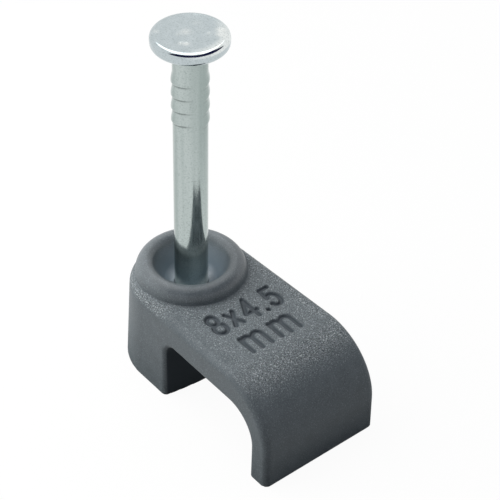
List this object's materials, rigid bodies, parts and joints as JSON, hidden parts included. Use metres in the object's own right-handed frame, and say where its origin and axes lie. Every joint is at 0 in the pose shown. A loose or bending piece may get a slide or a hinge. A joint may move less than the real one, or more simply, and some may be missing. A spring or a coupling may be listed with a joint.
{
  "type": "nail-in cable clip",
  "caption": "Moulded saddle clip that hooks over a flat twin cable, with a plated steel nail standing in its collared post ready to be driven into a wall.",
  "frame": {"origin": "on the nail axis in the wall plane, where the two feet rest", "axes": "+X from the nail to the free leg, +Y along the cable, +Z along the nail away from the wall"},
  "size_m": [0.0166, 0.0086, 0.0239],
  "materials": {
    "clip": "moulded grey polymer, fine spark-eroded grain on the top and shoulder, satin sides",
    "nail": "bright zinc plating on drawn wire"
  },
  "bodies": {
    "root": {"clip": "clip", "nail": "nail"}
  },
  "joints": []
}
